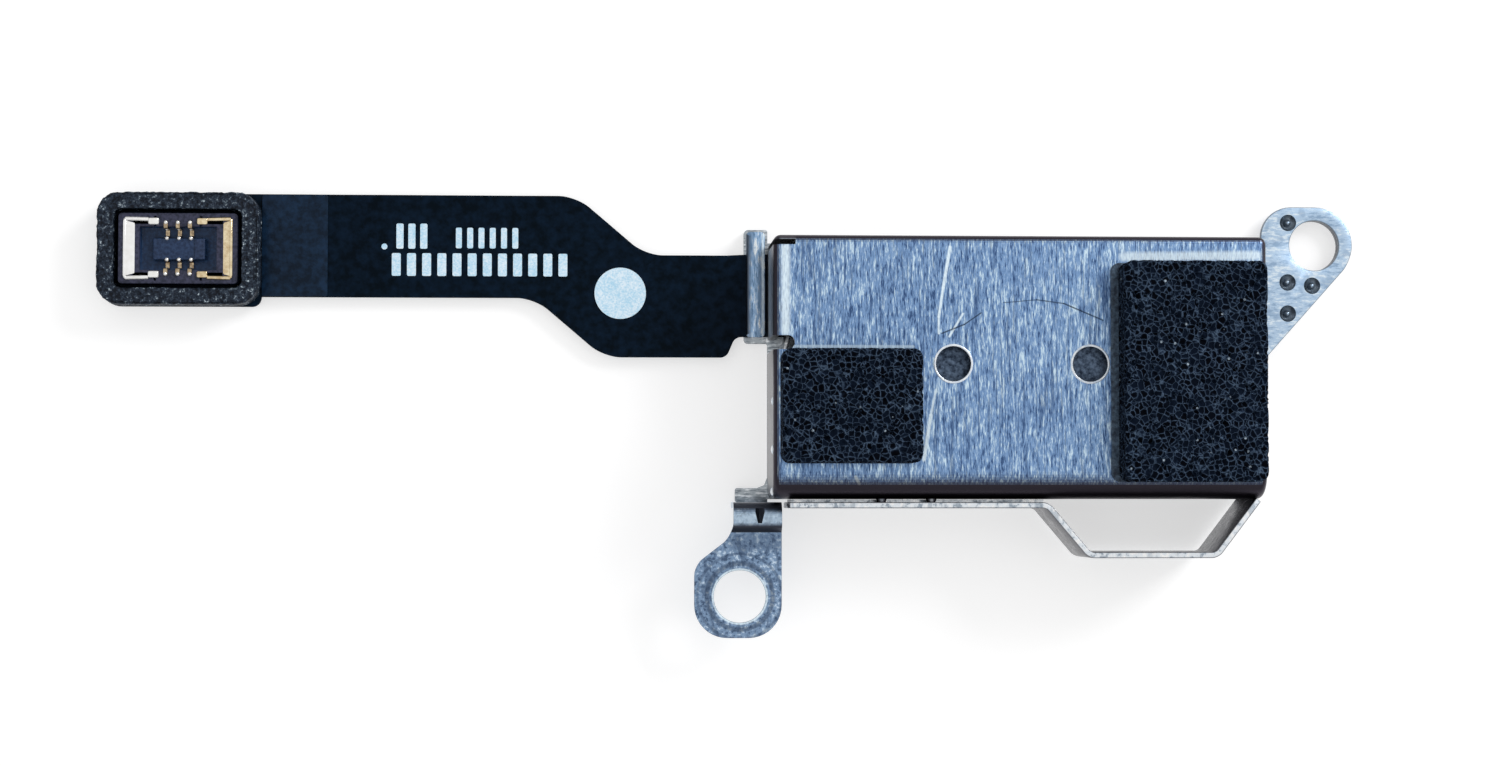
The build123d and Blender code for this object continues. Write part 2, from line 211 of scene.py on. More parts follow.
def finishPiece(bm, name, finish, body, nodes=(), angle=35, ride=True):
    noteSteepness(bm)
    bmesh.ops.scale(bm, vec=(milli, milli, milli), verts=bm.verts[:])
    piece = looseObject(bm, name)
    piece.data.materials.append(finish)
    piece.data.shade_smooth()
    piece.data.set_sharp_from_angle(angle=math.radians(angle))
    if ride:
        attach(piece, body)
    if nodes:
        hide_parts(*nodes)
    return piece


# ---- material helpers

def paint(red, green, blue):
    # screen colour, 0 to 255, as linear light
    made = []
    for value in (red, green, blue):
        c = value / 255
        made.append(c / 12.92 if c <= 0.04045 else ((c + 0.055) / 1.055) ** 2.4)
    return (*made, 1.0)


class Finish:
    def __init__(self, name, roughness=0.5, metallic=0.0, **fixed):
        self.material = bpy.data.materials.new(name)
        self.material.use_nodes = True
        self.tree = self.material.node_tree
        self.shader = self.tree.nodes["Principled BSDF"]
        self.shader.inputs["Roughness"].default_value = roughness
        self.shader.inputs["Metallic"].default_value = metallic
        for socket, value in fixed.items():
            self.shader.inputs[socket.replace("_", " ")].default_value = value

    def node(self, kind, inputs=None, **settings):
        made = self.tree.nodes.new(kind)
        for key, value in settings.items():
            setattr(made, key, value)
        for key, value in (inputs or {}).items():
            if isinstance(value, bpy.types.NodeSocket):
                self.tree.links.new(value, made.inputs[key])
            else:
                made.inputs[key].default_value = value
        return made

    def place(self, scale, turn=(0, 0, 0)):
        # object coordinates in millimetres, stretched by scale
        spot = self.node("ShaderNodeTexCoord").outputs["Object"]
        size = [s / milli for s in scale]
        return self.node("ShaderNodeMapping", {"Vector": spot, "Scale": size, "Rotation": turn}).outputs["Vector"]

    def cloud(self, scale, detail=4.0, rough=0.6, turn=(0, 0, 0)):
        inputs = {"Vector": self.place(scale, turn), "Scale": 1.0, "Detail": detail, "Roughness": rough}
        return self.node("ShaderNodeTexNoise", inputs).outputs["Fac"]

    def ramp(self, value, *stops):
        made = self.node("ShaderNodeValToRGB", {"Fac": value})
        points = made.color_ramp.elements
        while len(points) < len(stops):
            points.new(0.5)
        for point, (position, colour) in zip(points, stops):
            point.position = position
            point.color = colour if len(colour) == 4 else (*colour, 1)
        return made.outputs["Color"]

    def reach(self, value, low, high, outLow, outHigh):
        inputs = {"Value": value, "From Min": low, "From Max": high, "To Min": outLow, "To Max": outHigh}
        return self.node("ShaderNodeMapRange", inputs).outputs["Result"]

    def sums(self, operation, a, b):
        return self.node("ShaderNodeMath", {0: a, 1: b}, operation=operation).outputs[0]

    def mix(self, factor, a, b, blend="MIX"):
        made = self.node("ShaderNodeMix", data_type="RGBA", blend_type=blend)
        for index, value in ((0, factor), (6, a), (7, b)):
            if isinstance(value, bpy.types.NodeSocket):
                self.tree.links.new(value, made.inputs[index])
            else:
                made.inputs[index].default_value = value
        return made.outputs[2]

    def line(self, start, end, width):
        # 1 on a straight line from start to end, in millimetres, 0 away from it; it draws scratches and also painted
        # highlights and painted shade
        spot = self.place((1, 1, 0))
        a = Vector((*start, 0))
        run = Vector((*end, 0)) - a
        offset = self.node("ShaderNodeVectorMath", {0: spot, 1: a}, operation="SUBTRACT").outputs[0]
        along = self.node("ShaderNodeVectorMath", {0: offset, 1: run / run.length_squared}, operation="DOT_PRODUCT")
        share = self.node("ShaderNodeClamp", {"Value": along.outputs["Value"]}).outputs[0]
        near = self.node("ShaderNodeVectorMath", {0: run, "Scale": share}, operation="SCALE").outputs[0]
        gap = self.node("ShaderNodeVectorMath", {0: offset, 1: near}, operation="DISTANCE").outputs["Value"]
        return self.reach(gap, width * 0.4, width, 1.0, 0.0)

    def ring(self, centre, radius, width):
        # 1 on a circle round a centre, 0 away from it; it draws the rings round the bracket's hole, one of them a
        # painted highlight on the rim
        spot = self.place((1, 1, 0))
        far = self.node("ShaderNodeVectorMath", {0: spot, 1: (*centre, 0)}, operation="DISTANCE").outputs["Value"]
        gap = self.sums("ABSOLUTE", self.sums("SUBTRACT", far, radius), 0.0)
        return self.reach(gap, width * 0.25, width * 0.5, 1.0, 0.0)

    def use(self, colour=None, roughness=None, height=None, depth=0.0, strength=1.0):
        if colour is not None:
            self.tree.links.new(colour, self.shader.inputs["Base Color"])
        if roughness is not None:
            self.tree.links.new(roughness, self.shader.inputs["Roughness"])
        if height is not None:
            bump = self.node("ShaderNodeBump", {"Height": height, "Distance": depth * milli, "Strength": strength})
            self.tree.links.new(bump.outputs["Normal"], self.shader.inputs["Normal"])
        return self.material


def brushedSteel(name, dark, mid, bright, bend, side, grain, roughness=0.32, scratchesAndPaintedLight=(), depth=0.006):
    finish = Finish(name, roughness, 1.0)
    coarse = finish.cloud(grain, 5.0, 0.65)
    fine = finish.cloud([g * 2.3 for g in grain], 3.0, 0.6)
    patches = finish.cloud((0.25, 0.25, 0.25), 2.0, 0.5)
    streak = finish.sums("ADD", finish.sums("MULTIPLY", coarse, 0.6), finish.sums("MULTIPLY", fine, 0.4))
    streak = finish.sums("ADD", streak, finish.reach(patches, 0.3, 0.7, -0.02, 0.02))
    colour = finish.ramp(streak, (0.405, dark), (0.475, mid), (0.52, mid), (0.592, bright))
    scores = finish.cloud([g * share for g, share in zip(grain, (1.1, 0.3, 1.1))], 2.0, 0.5)
    colour = finish.mix(finish.reach(scores, 0.36, 0.45, 0.6, 0.0), colour, dark)
    broken = finish.reach(fine, 0.4, 0.55, 0.7, 1.0)
    paleScratchAndHighlight = 0.0
    # the listed lines and rings are scratches and rings, and some are painted highlights and painted shade
    for start, end, width, tint, share in scratchesAndPaintedLight:
        shape = finish.line(start, end, width) if isinstance(end, tuple) else finish.ring(start, end, width)
        markAndLightMask = finish.sums("MULTIPLY", shape, broken)
        markAndLightMask = finish.sums("MULTIPLY", markAndLightMask, share)
        colour = finish.mix(markAndLightMask, colour, tint)
        # pale scratches and painted highlights lose their metal sheen
        if tint == scratchAndHighlightPale:
            paleScratchAndHighlight = finish.sums("MAXIMUM", markAndLightMask, paleScratchAndHighlight)
    if paleScratchAndHighlight:
        shown = finish.reach(paleScratchAndHighlight, 0.0, 1.0, 1.0, 0.2)
        finish.tree.links.new(shown, finish.shader.inputs["Metallic"])
    # Steep faces take the bend colour, painted shade on bends and walls; upright faces take the side colour, painted
    # shading that is darker on most parts and a painted highlight on the bracket's walls.
    steep = finish.node("ShaderNodeAttribute", attribute_name="steepness").outputs["Fac"]
    lean = finish.node("ShaderNodeMath", {0: steep, 1: 0.5}, operation="POWER").outputs[0]
    upright = finish.mix(0.5, side, finish.mix(1.0, side, finish.ramp(streak, (0.4, (0.5,) * 3), (0.6, (1,) * 3)), "MULTIPLY"))
    colour = finish.mix(finish.reach(lean, 0.0, 0.36, 0.0, 1.0), colour, bend)
    colour = finish.mix(finish.reach(lean, 0.86, 0.97, 0.0, 1.0), colour, upright)
    shine = finish.reach(streak, 0.35, 0.65, roughness + 0.1, roughness - 0.06)
    return finish.use(colour, shine, streak, depth)


def speckled(name, dark, pale, scale, roughness=0.6, depth=0.01, metallic=0.0, spread=(0.4, 0.62), gloss=0.5):
    finish = Finish(name, roughness, metallic, Specular_IOR_Level=gloss)
    grain = finish.cloud((scale, scale, scale), 4.0, 0.65)
    broad = finish.cloud((scale * 0.12, scale * 0.12, scale * 0.12), 2.0, 0.5)
    value = finish.sums("ADD", finish.sums("MULTIPLY", grain, 0.75), finish.sums("MULTIPLY", broad, 0.25))
    colour = finish.ramp(value, (spread[0], dark), (spread[1], pale))
    shine = finish.reach(value, 0.35, 0.65, min(1.0, roughness + 0.08), roughness - 0.06)
    return finish.use(colour, shine, grain, depth)


def porousFoam(name):
    # dark cells with thin grey struts between them
    finish = Finish(name, 0.9, 0.0, Specular_IOR_Level=0.05)
    wander = finish.node("ShaderNodeTexNoise", {"Vector": finish.place((5, 5, 5)), "Scale": 1.0, "Detail": 2.0})
    bent = finish.node("ShaderNodeVectorMath", {0: wander.outputs["Color"], "Scale": 0.5}, operation="SCALE").outputs[0]
    spot = finish.node("ShaderNodeVectorMath", {0: finish.place((5.3, 5.3, 5.3)), 1: bent}, operation="ADD").outputs[0]
    cells = finish.node("ShaderNodeTexVoronoi", {"Vector": spot, "Scale": 1.0}, feature="DISTANCE_TO_EDGE")
    tint = finish.node("ShaderNodeTexVoronoi", {"Vector": spot, "Scale": 1.0}).outputs["Color"]
    pore = finish.node("ShaderNodeAttribute", attribute_name="poreDepth").outputs["Fac"]
    # deeper pores shift toward the dark end of the ramp: painted shade in the pores
    wall = finish.sums("ADD", cells.outputs["Distance"], finish.sums("MULTIPLY", pore, 0.05))
    shade = finish.ramp(
        wall, (0.0, paint(80, 98, 118)), (0.05, paint(42, 56, 76)), (0.12, paint(8, 16, 30)), (0.24, paint(0, 1, 6))
    )
    shade = finish.mix(finish.reach(tint, 0.35, 0.75, 0.0, 0.5), shade, paint(14, 26, 44))
    fleck = finish.node("ShaderNodeTexVoronoi", {"Vector": finish.place((1.9, 1.9, 1.9)), "Scale": 1.0}).outputs["Distance"]
    shade = finish.mix(finish.reach(fleck, 0.05, 0.1, 0.9, 0.0), shade, paint(160, 176, 190))
    return finish.use(shade, None, finish.reach(wall, 0.0, 0.2, 1.0, 0.0), 0.05)


def socketPlastic(name):
    finish = Finish(name, 0.35, 0.0, Specular_IOR_Level=0.25)
    grain = finish.cloud((10, 10, 10), 4.0, 0.6)
    rim = finish.ramp(grain, (0.4, paint(34, 38, 56)), (0.6, paint(58, 60, 82)))
    well = finish.ramp(grain, (0.4, paint(18, 42, 74)), (0.6, paint(34, 62, 98)))
    height = finish.node("ShaderNodeSeparateXYZ", {0: finish.place((1, 1, 1))}).outputs["Z"]
    return finish.use(finish.mix(finish.reach(height, 0.72, 1.0, 0.0, 1.0), well, rim), None, grain, 0.004)


def fleckedFoam(name):
    finish = Finish(name, 0.5, 0.0, Specular_IOR_Level=0.15)
    grain = finish.cloud((8, 8, 8), 4.0, 0.7)
    shade = finish.ramp(
        grain, (0.4, paint(8, 14, 24)), (0.52, paint(34, 44, 58)), (0.6, paint(58, 70, 84)), (0.7, paint(190, 204, 212))
    )
    return finish.use(shade, None, grain, 0.05)


# ---- camera, light and floor

camera = {"place": (-13.867, -4.376, 94.0), "target": (-8.83, -0.438, 1.0), "roll": 0.13, "lens": 66.4}
studio = {"sky": 0.82, "horizon": 0.4, "softbox": 0.3, "softboxSize": 90, "softboxPlace": (150, 120, 105)}


def buildStudio():
    data = bpy.data.cameras.new("camera")
    data.lens = camera["lens"]
    data.sensor_width = 36
    data.clip_start = 0.001
    data.clip_end = 10
    viewer = bpy.data.objects.new("camera", data)
    bpy.context.scene.collection.objects.link(viewer)
    forward = (Vector(camera["target"]) - Vector(camera["place"])).normalized()
    right = (Vector((1, 0, 0)) - forward * forward.x).normalized()
    up = right.cross(forward)
    turn = Matrix((right, up, -forward)).transposed().to_4x4()
    turn = turn @ Matrix.Rotation(math.radians(camera["roll"]), 4, "Z")
    viewer.matrix_world = Matrix.Translation(Vector(camera["place"]) * milli) @ turn
    bpy.context.scene.camera = viewer

    world = bpy.data.worlds.new("studio")
    world.use_nodes = True
    bpy.context.scene.world = world
    nodes, links = world.node_tree.nodes, world.node_tree.links
    direction = nodes.new("ShaderNodeTexCoord")
    parts = nodes.new("ShaderNodeSeparateXYZ")
    ramp = nodes.new("ShaderNodeValToRGB")
    low, high = studio["horizon"], studio["sky"]
    ramp.color_ramp.elements[0].position = 0.05
    ramp.color_ramp.elements[0].color = (low, low, low, 1)
    ramp.color_ramp.elements[1].position = 0.75
    ramp.color_ramp.elements[1].color = (high, high, high, 1)
    links.new(direction.outputs["Generated"], parts.inputs[0])
    links.new(parts.outputs["Z"], ramp.inputs["Fac"])
    links.new(ramp.outputs["Color"], nodes["Background"].inputs["Color"])

    lamp = bpy.data.lights.new("softbox", "AREA")
    lamp.size = studio["softboxSize"] * milli
    lamp.energy = studio["softbox"]
    box = bpy.data.objects.new("softbox", lamp)
    bpy.context.scene.collection.objects.link(box)
    box.location = Vector(studio["softboxPlace"]) * milli
    box.rotation_euler = (-box.location).to_track_quat("-Z", "Y").to_euler()

    floor = bmesh.new()
    bmesh.ops.create_grid(floor, x_segments=1, y_segments=1, size=1.5)
    ground = looseObject(floor, "floor")
    finish = Finish("floorPaper", 0.9, Emission_Color=(1, 1, 1, 1), Emission_Strength=0.55)
    pale = finish.cloud((0.02, 0.02, 0.02), 2.0, 0.5)
    ground.data.materials.append(finish.use(finish.ramp(pale, (0.3, (0.54, 0.54, 0.545)), (0.7, (0.57, 0.57, 0.57)))))
    ground.location.z = -0.05 * milli
    bpy.context.scene.view_settings.view_transform = "Standard"


buildStudio()
print("studio built")


# ---- finishes

coverWall = paint(56, 54, 58)
# pale colour of real scratches and of painted highlights
scratchAndHighlightPale = (0.78, 0.92, 1.0, 1.0)
scratchDark = paint(40, 52, 70)
# real scratches, and painted highlights along bends and edges
coverScratchesAndHighlights = [  # start, end, width, colour, strength
    ((-2.37, 3.95), (-2.6, 2.6), 0.07, scratchAndHighlightPale, 1.0),
    ((-2.6, 2.6), (-2.75, 1.65), 0.06, scratchAndHighlightPale, 1.0),
    ((-2.75, 1.65), (-2.75, 1.1), 0.05, scratchAndHighlightPale, 0.9),
    ((-1.95, 1.75), (-2.4, 1.0), 0.05, scratchAndHighlightPale, 0.9),
    ((-2.85, -0.75), (-3.02, -1.6), 0.05, scratchAndHighlightPale, 0.8),
    ((-3.02, -1.6), (-3.25, -3.05), 0.08, scratchAndHighlightPale, 1.0),
    ((-2.65, 1.1), (-1.9, 1.4), 0.035, scratchDark, 0.9),
    ((-1.9, 1.4), (-1.35, 1.78), 0.03, scratchDark, 0.9),
    ((-0.6, 2.12), (0.5, 2.22), 0.025, scratchDark, 0.7),
    ((0.5, 2.22), (1.4, 2.1), 0.03, scratchDark, 0.8),
    ((1.4, 2.1), (2.7, 1.55), 0.035, scratchDark, 0.9),
    ((-5.5, -3.62), (-5.38, -3.85), 0.07, scratchAndHighlightPale, 1.0),
    # painted highlight along the left flange's bend
    ((-7.8, 1.15), (-7.8, 3.9), 0.2, scratchAndHighlightPale, 0.9),
    # painted highlight along the upper bend above the right pad
    ((3.4, 3.66), (7.85, 3.72), 0.2, scratchAndHighlightPale, 0.8),
    # painted highlight along the upper edge of the left pad
    ((-7.6, 0.66), (-3.6, 0.66), 0.07, paint(206, 228, 244), 0.7),
    # painted highlight along the edge of the slit
    ((-7.95, 4.24), (-7.5, 4.24), 0.07, scratchAndHighlightPale, 0.9),
]
# painted highlight along the clamp's right edge and painted shade along its rolled left edge
clampHighlightAndShade = [
    ((-8.37, 1.2), (-8.37, 4.6), 0.06, scratchAndHighlightPale, 0.8), ((-8.86, 1.2), (-8.86, 4.6), 0.14, paint(70, 92, 120), 0.7),
]
bracketShadingAndRings = [
    # painted highlight on the sloping face of the joggle
    ((-9.25, -4.98), (-7.95, -4.98), 0.3, paint(196, 216, 232), 0.8),
    # painted shade beside the fold
    ((-9.3, -5.75), (-7.95, -5.75), 0.45, paint(70, 86, 110), 0.5),
    # rings round the lower hole: two dark rings, and a pale ring on the rim that is a painted highlight
    ((-9.21, -7.59), 1.42, 0.12, paint(56, 72, 98), 0.5),
    ((-9.21, -7.59), 1.1, 0.2, paint(50, 62, 84), 0.6),
    ((-9.21, -7.59), 0.9, 0.1, scratchAndHighlightPale, 0.85),
]
earMarks = [((9.62, 3.1), (9.86, 3.3), 0.05, scratchAndHighlightPale, 0.8), ((8.45, 1.4), (9.0, 1.9), 0.06, scratchAndHighlightPale, 0.6)]
finishes = {
    "cover": brushedSteel(
        "coverSteel", paint(62, 88, 130), paint(128, 162, 206), paint(216, 240, 255), paint(56, 52, 60),
        paint(136, 136, 140), (14, 1.9, 14), 0.34, coverScratchesAndHighlights,
    ),
    "base": brushedSteel(
        "baseSteel", paint(128, 136, 144), paint(176, 184, 190), paint(232, 236, 240), paint(110, 112, 116),
        paint(120, 122, 128), (2.2, 11, 11), 0.36,
    ),
    # the ear's steel is set lighter than the cover's: a painted highlight for the brighter-lit ear
    "ear": brushedSteel(
        "earSteel", paint(150, 176, 204), paint(186, 210, 234), paint(230, 244, 255), paint(112, 124, 136),
        paint(92, 100, 112), (2, 6, 6), 0.3, earMarks,
    ),
    "bracket": brushedSteel(
        "bracketSteel", paint(80, 100, 128), paint(134, 160, 192), paint(208, 228, 246), paint(66, 70, 80),
        paint(206, 218, 230), (4, 4, 4), 0.32, bracketShadingAndRings,
    ),
    # the hoop's near-white flat colours are a painted highlight on the strip's thin top edge
    "hoop": brushedSteel(
        "hoopSteel", paint(160, 172, 184), paint(234, 240, 246), paint(255, 255, 255), paint(74, 74, 80),
        paint(96, 96, 102), (3, 3, 3), 0.28,
    ),
    "clamp": brushedSteel(
        "clampSteel", paint(104, 134, 168), paint(158, 190, 224), paint(240, 248, 252), paint(78, 88, 102),
        paint(120, 128, 138), (9, 1.8, 9), 0.3, clampHighlightAndShade,
    ),
}
# near-white finish of the burr rings and weld specks: a painted highlight on the hole rims
finishes["rim"] = speckled("rimHighlightSteel", paint(206, 220, 236), paint(252, 254, 255), 5.0, 0.22, 0.003, 0.4)
finishes["foam"] = porousFoam("openCellFoam")
finishes["tape"] = speckled("adhesiveTape", paint(28, 40, 56), paint(78, 98, 118), 7.0, 0.45, 0.012, gloss=0.3)
finishes["gasket"] = fleckedFoam("gasketFoam")
finishes["flex"] = speckled("flexFilm", paint(0, 9, 19), paint(7, 24, 41), 3.0, 0.4, 0.004, gloss=0.05)
finishes["shield"] = speckled("shieldFoil", paint(6, 22, 38), paint(20, 42, 66), 4.0, 0.3, 0.004, gloss=0.12)
finishes["board"] = speckled("stiffenerBoard", paint(40, 44, 50), paint(66, 70, 76), 9.0, 0.5, 0.006)
finishes["socket"] = socketPlastic("socketPlastic")
finishes["gold"] = speckled("goldPlate", (0.62, 0.46, 0.26, 1), (0.95, 0.82, 0.56, 1), 4.0, 0.16, 0.003, 1.0)
finishes["contact"] = speckled("contactStrip", (0.3, 0.22, 0.14, 1), (0.7, 0.56, 0.36, 1), 6.0, 0.2, 0.003, 1.0)
finishes["clip"] = speckled("silverClip", (0.88, 0.87, 0.84, 1), (1.0, 1.0, 0.99, 1), 3.0, 0.16, 0.003, 0.6)
finishes["ink"] = speckled("whiteInk", paint(170, 212, 236), paint(226, 240, 250), 16.0, 0.6, 0.004)
finishes["copper"] = speckled("copperWire", (0.38, 0.13, 0.05, 1), (0.8, 0.36, 0.17, 1), 8.0, 0.3, 0.006, 1.0)
finishes["solder"] = speckled("solderTin", (0.55, 0.56, 0.58, 1), (0.85, 0.86, 0.87, 1), 9.0, 0.25, 0.006, 1.0)
finishes["spring"] = brushedSteel(
    "springSteel", paint(120, 124, 130), paint(165, 168, 172), paint(220, 222, 225), paint(150, 152, 156),
    paint(150, 152, 156), (3, 3, 14), 0.28,
)
finishes["rubber"] = speckled("stopRubber", paint(20, 20, 22), paint(44, 44, 47), 9.0, 0.75, 0.01)
finishes["tungsten"] = speckled("tungstenAlloy", paint(72, 74, 78), paint(112, 114, 118), 12.0, 0.45, 0.008, 1.0)
finishes["nickel"] = speckled("nickelPlate", paint(160, 158, 150), paint(205, 203, 196), 8.0, 0.2, 0.003, 1.0)
finishes["yoke"] = speckled("yokeIron", paint(46, 58, 76), paint(108, 126, 150), 7.0, 0.5, 0.006, 1.0)
print("finishes made")


# ---- cover

cover = {
    "sheet": 0.2, "bend": 0.25, "lowBend": 0.9, "holeRadius": 0.6, "holePitch": 4.54, "holeY": 0.1, "burr": 0.04,
    "specks": [(-1.12, 3.3, 0.09), (-2.72, 3.3, 0.1), (-4.1, 2.9, 0.09)], "slitWidth": 0.18, "slitDepth": 0.73, "notchWidth": 0.46, "notchDepth": 0.7, "flangeInset": 0.33,
    "flangeWidth": 2.99, "flexSlot": 0.05,
}
canLeft, canRight, canLow, canHigh, coverBottom, coverTop = span("top_cover")
flexBottom, flexTop = span("flex_root")[4:]


def canShape(x0, x1, y0, y1, z0, z1, lowBend, bend):
    # a drawn can: the long lower bend is wider than the others
    bm = bmesh.new()
    addBlock(bm, x0, x1, y0, y1, z0, z1)
    bmesh.ops.recalc_face_normals(bm, faces=bm.faces[:])
    softenEdges(bm, lowBend, 16, 50, lambda e: atHeight(z1)(e) and all(v.co.y < y0 + 0.01 for v in e.verts))
    softenEdges(bm, bend, 6, 50, lambda e: not atHeight(z0)(e))
    return bm


def buildCover():
    c = cover
    t = c["sheet"]
    shell = canShape(canLeft, canRight, canLow, canHigh, coverBottom, coverTop, c["lowBend"], c["bend"])
    room = canShape(
        canLeft + t, canRight - t, canLow + t, canHigh - t, coverBottom - 1, coverTop - t, c["lowBend"] - t, c["bend"] - t
    )
    shell = combine(shell, room)
    over = coverTop + 1
    flangeHigh = canHigh - c["flangeInset"]
    flangeLow = flangeHigh - c["flangeWidth"]
    slit = bmesh.new()
    addBlock(slit, canLeft - 1, canLeft + c["slitDepth"], flangeHigh, flangeHigh + c["slitWidth"], coverBottom - 1, over)
    shell = combine(shell, slit)
    notchLow = flangeLow - c["notchWidth"]
    radius = c["notchWidth"] / 2
    notch = roundedBlock(
        canLeft - 1, canLeft + c["notchDepth"], notchLow, flangeLow, coverBottom - 1, over, radius * 0.96, 0, 10
    )
    shell = combine(shell, notch)
    slot = bmesh.new()
    addBlock(slot, canLeft - 1, canLeft + t + 0.05, flangeLow, flangeHigh, 0, flexTop + c["flexSlot"])
    shell = combine(shell, slot)
    for side in (-1, 1):
        hole = cylinderTool(side * c["holePitch"] / 2, c["holeY"], c["holeRadius"], coverTop - 1, over)
        shell = combine(shell, hole)
    return finishPiece(shell, "topCover", finishes["cover"], "housing", ["top_cover"], 32)


def burrRing(x, y, radius, z, size):
    # the raised lip that a punch leaves round a hole, spun from a small round section
    bm = bmesh.new()
    section = bmesh.ops.create_circle(
        bm, segments=10, radius=size, matrix=Matrix.Translation((radius + size * 0.4, 0, 0)) @ Matrix.Rotation(math.pi / 2, 4, "X")
    )["verts"]
    bmesh.ops.spin(
        bm, geom=section + bm.edges[:], cent=(0, 0, 0), axis=(0, 0, 1), angle=math.tau, steps=72, use_merge=True
    )
    bmesh.ops.scale(bm, vec=(1, 1, 0.55), verts=bm.verts[:])
    bmesh.ops.translate(bm, vec=(x, y, z), verts=bm.verts[:])
    bmesh.ops.recalc_face_normals(bm, faces=bm.faces[:])
    return bm


def buildRims():
    c = cover
    bm = bmesh.new()
    for side in (-1, 1):
        joinInto(bm, burrRing(side * c["holePitch"] / 2, c["holeY"], c["holeRadius"], coverTop, c["burr"]))
    for y, z, size in c["specks"]:
        speck = bmesh.new()
        bmesh.ops.create_icosphere(speck, subdivisions=3, radius=size)
        bmesh.ops.scale(speck, vec=(0.7, 1.5, 1), verts=speck.verts[:])
        bmesh.ops.translate(speck, vec=(canLeft, y, z), verts=speck.verts[:])
        joinInto(bm, speck)
    # the burr rings and specks take the near-white rim finish, a painted highlight
    return finishPiece(bm, "coverRims", finishes["rim"], "housing", [], 60)


buildCover()
buildRims()
print("cover built")


# ---- corner ear, base plate and weld marks

ear = {
    "rim": 0.46, "shoulder": 1.05, "gap": 0.55, "rootLow": 4.65, "edge": 0.025, "backerInset": 0.12,
    "welds": [(1.5, 0.78), (1.47, -1.27), (2.32, -1.38), (1.47, -2.34)], "weldRadius": 0.34, "weldLift": 0.185,
    "nubRadius": 0.11,
}
holeX = frame["record"]["mounts"][2]["pos_m"][0] / milli
holeY = frame["record"]["mounts"][2]["pos_m"][1] / milli
holeRadius = frame["record"]["mounts"][2]["dims"]["r_mm"]


def earOutline(inset):
    # tangent polygon round the rim and the shoulder, rounded at its corners
    rim = holeRadius + ear["rim"] - inset
    right, top = holeX + rim, holeY + rim
    rootLow = canHigh - ear["rootLow"] + inset
    left = canRight + ear["gap"] + inset
    toHole = Vector((holeX - canRight, holeY - rootLow))
    slope = math.tan(math.atan2(toHole.y, toHole.x) - math.asin(rim / toHole.length))
    return [
        (canRight, canHigh - 0.3 - inset, 0),
        (canRight, rootLow, 0),
        (right, rootLow + (right - canRight) * slope, rim * 0.98),
        (right, top, rim * 0.98),
        (left, top, ear["shoulder"]),
        (left, canHigh - 0.3 - inset, 0),
    ]


def buildCornerEar():
    z0, z1 = span("corner_ear")[4:]
    spots = [(canRight + x, canHigh + y) for x, y in ear["welds"]]
    bm = plate(earOutline(0), [(holeX, holeY, holeRadius)], z0, z1, ear["edge"])
    for x, y in spots:
        dish = bmesh.new()
        bmesh.ops.create_uvsphere(
            dish, u_segments=32, v_segments=24, radius=ear["weldRadius"],
            matrix=Matrix.Translation((x, y, z1 + ear["weldLift"])),
        )
        bm = combine(bm, dish)
        nub = bmesh.new()
        bmesh.ops.create_uvsphere(
            nub, u_segments=16, v_segments=12, radius=ear["nubRadius"], matrix=Matrix.Translation((x, y, z1 - 0.12))
        )
        joinInto(bm, nub)
    return finishPiece(bm, "cornerEar", finishes["ear"], "housing", ["corner_ear"], 40)


def buildBase():
    x0, x1, y0, y1, z0, z1 = span("base_plate")
    left = -frame["joints"][0]["deforming_nodes"][1]["fixed_end_x_m"] / milli - cover["sheet"]
    clampLeft, clampRight, clampLow, clampHigh = span("flex_clamp")[:4]
    r = cover["bend"]
    corners = [
        (canLeft, canLow + 0.38 + 0.35, 0), (canLeft, clampLow - 0.2, 0.06), (clampLeft - 0.06, clampLow - 0.2, 0.15),
        (clampLeft - 0.06, y1 if y1 < clampHigh + 0.2 else clampHigh + 0.1, 0.15), (canLeft, clampHigh + 0.1, 0.05),
        (canLeft, canHigh, 0), (canRight, canHigh, r), (canRight, canLow, r), (canLeft, canLow, 0),
        (canLeft, canLow - 0.1, 0), (x0 if x0 > canLeft - 1.2 else canLeft - 1.1, canLow - 0.1, 0.08),
        (x0 if x0 > canLeft - 1.2 else canLeft - 1.1, canLow + 0.38, 0.08), (canLeft - 0.35, canLow + 0.38, 0.0),
        (canLeft - 0.1, canLow + 0.48, 0.0),
    ]
    bm = plate(corners, [], z0, z1, 0.03)
    outline = earOutline(ear["backerInset"])
    outline[0] = (canRight - 0.6, canHigh - 0.42, 0)
    outline[1] = (canRight - 0.6, outline[1][1] - 0.6 * 1.1, 0)
    backer = plate(outline, [(holeX, holeY, holeRadius)], z0, z1, 0.02)
    bm = combine(bm, backer, "UNION")
    return finishPiece(bm, "basePlate", finishes["base"], "housing", ["base_plate"], 40)


buildCornerEar()
buildBase()
print("ear and base built")


# ---- lower ear bracket and hoop

bracket = {
    "sheet": 0.2, "bend": 0.28, "joggle": 0.14, "rootLength": 0.55, "stepRun": 0.2, "neckLeft": 1.23, "neckLength": 1.2,
    "flare": 1.0, "edge": 0.03, "gusset": (0.74, 0.19, 0.5),
}
lowHole = frame["record"]["mounts"][1]


